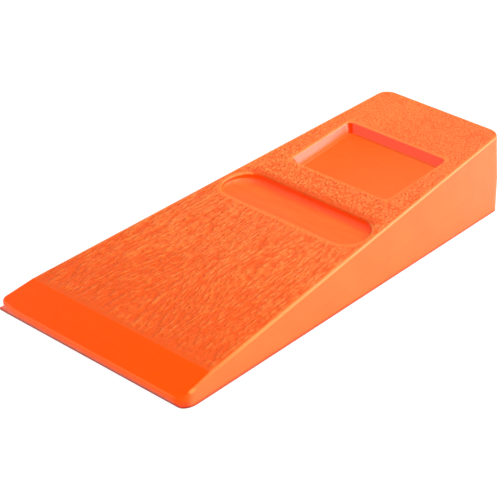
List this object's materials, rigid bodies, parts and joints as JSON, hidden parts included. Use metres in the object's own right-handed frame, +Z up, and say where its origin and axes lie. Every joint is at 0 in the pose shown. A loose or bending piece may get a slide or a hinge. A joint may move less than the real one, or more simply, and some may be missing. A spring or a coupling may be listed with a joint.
{
  "type": "felling wedge",
  "caption": "Moulded plastic felling wedge with a steeper taper at the nose, a grained bearing face, a finger scoop and a shallow label pocket.",
  "frame": {"origin": "middle of the underside", "axes": "+X from the nose edge towards the butt, +Z up out of the underside, +Y to the left for someone looking along +X"},
  "size_m": [0.2, 0.077, 0.03],
  "materials": {
    "orange_plastic": "satin injection-moulded plastic, leather grain on the bearing face, polished nose taper and pocket"
  },
  "bodies": {
    "root": {"wedge_body": "orange_plastic"}
  },
  "joints": []
}
